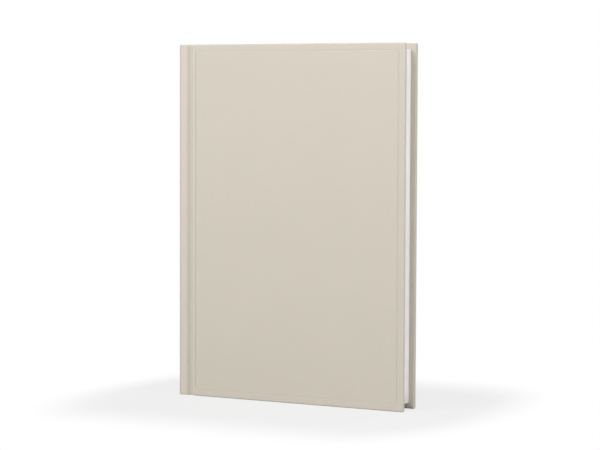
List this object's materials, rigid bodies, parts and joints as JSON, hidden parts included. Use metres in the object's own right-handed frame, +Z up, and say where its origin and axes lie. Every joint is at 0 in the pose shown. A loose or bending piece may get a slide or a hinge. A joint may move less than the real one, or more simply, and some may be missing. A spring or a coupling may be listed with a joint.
{
  "type": "hardcover planner",
  "caption": "Case-bound planner standing on its tail edge: cloth-covered boards with a pressed frame line, flat spine, pressed joints, page block.",
  "frame": {"origin": "middle of the tail edges that the planner stands on", "axes": "+Z up from tail to head, +Y from the front cover to the back cover, +X from the spine to the fore edge"},
  "size_m": [0.1546, 0.018, 0.217],
  "materials": {
    "cover_cloth": "fine matt book cloth, warm beige",
    "pages": "trimmed white paper edges",
    "endpaper": "smooth uncoated off-white",
    "board": "grey board",
    "gauze": "open binding gauze",
    "lining_paper": "kraft paper",
    "band": "woven bead"
  },
  "bodies": {
    "book_block": {"text_block": "pages", "front_flyleaf": "endpaper", "back_flyleaf": "endpaper", "spine_gauze": "gauze", "spine_lining": "lining_paper", "headband": "band", "tailband": "band", "spine_board": "board", "spine_cloth": "cover_cloth"},
    "front_cover": {"front_board": "board", "front_cover_cloth": "cover_cloth", "front_hinge_gauze": "gauze", "front_pastedown": "endpaper"},
    "back_cover": {"back_board": "board", "back_cover_cloth": "cover_cloth", "back_hinge_gauze": "gauze", "back_pastedown": "endpaper"}
  },
  "joints": [
    {"name": "front_cover_hinge", "type": "hinge", "parent": "book_block", "child": "front_cover", "pos_m": [-0.06863, -0.009, 0.1085], "axis": [0, 0, -1], "range_deg": [0, 180]},
    {"name": "back_cover_hinge", "type": "hinge", "parent": "book_block", "child": "back_cover", "pos_m": [-0.06863, 0.009, 0.1085], "axis": [0, 0, 1], "range_deg": [0, 180]}
  ]
}
